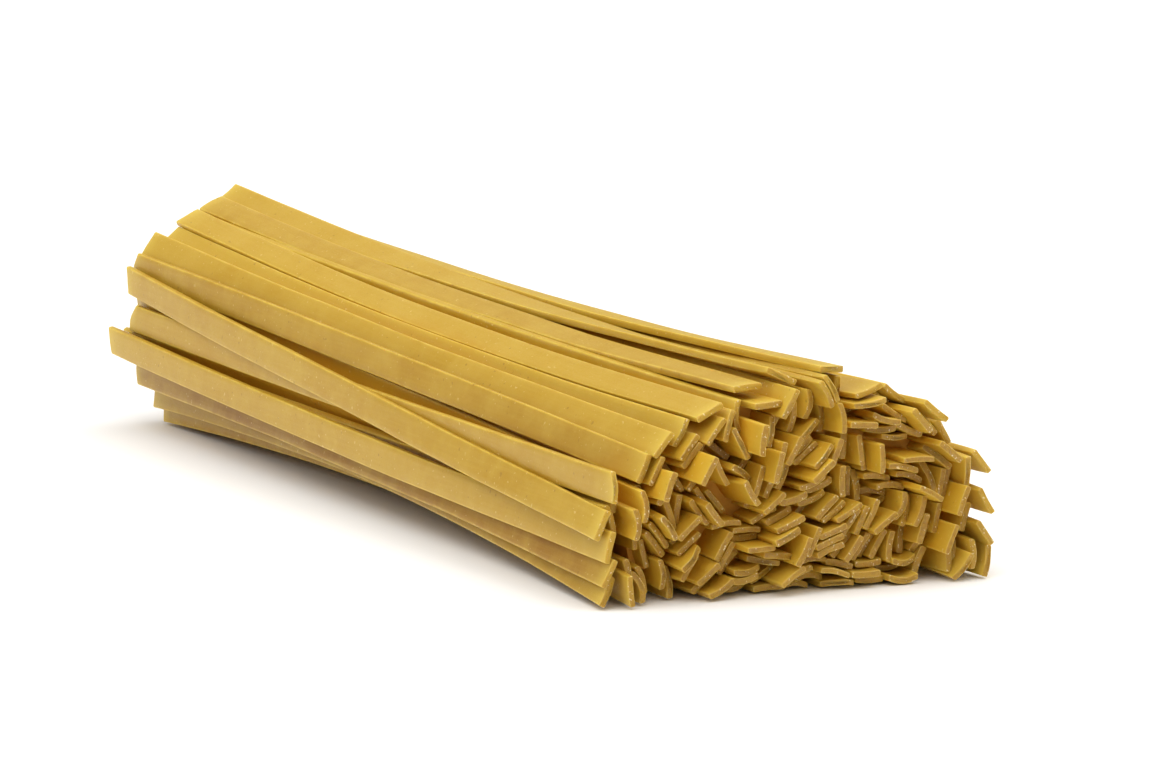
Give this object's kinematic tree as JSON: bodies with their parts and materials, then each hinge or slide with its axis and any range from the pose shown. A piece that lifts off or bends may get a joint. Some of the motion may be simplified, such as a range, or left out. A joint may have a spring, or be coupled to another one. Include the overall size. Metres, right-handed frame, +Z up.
{
  "type": "bundle of dry fettuccine",
  "caption": "Loose bundle of long flat dry pasta strands lying on its side, drawn in at half length, with uneven cut ends.",
  "frame": {"origin": "centre of the bundle's box, on the surface it lies on", "axes": "+X along the strands, towards the splayed end shown in the picture; +Z up"},
  "size_m": [0.265, 0.0934, 0.0533],
  "materials": {
    "dry_pasta": "satin, slightly translucent dry semolina"
  },
  "bodies": {
    "root": {"pasta_bundle": "dry_pasta"}
  },
  "joints": []
}
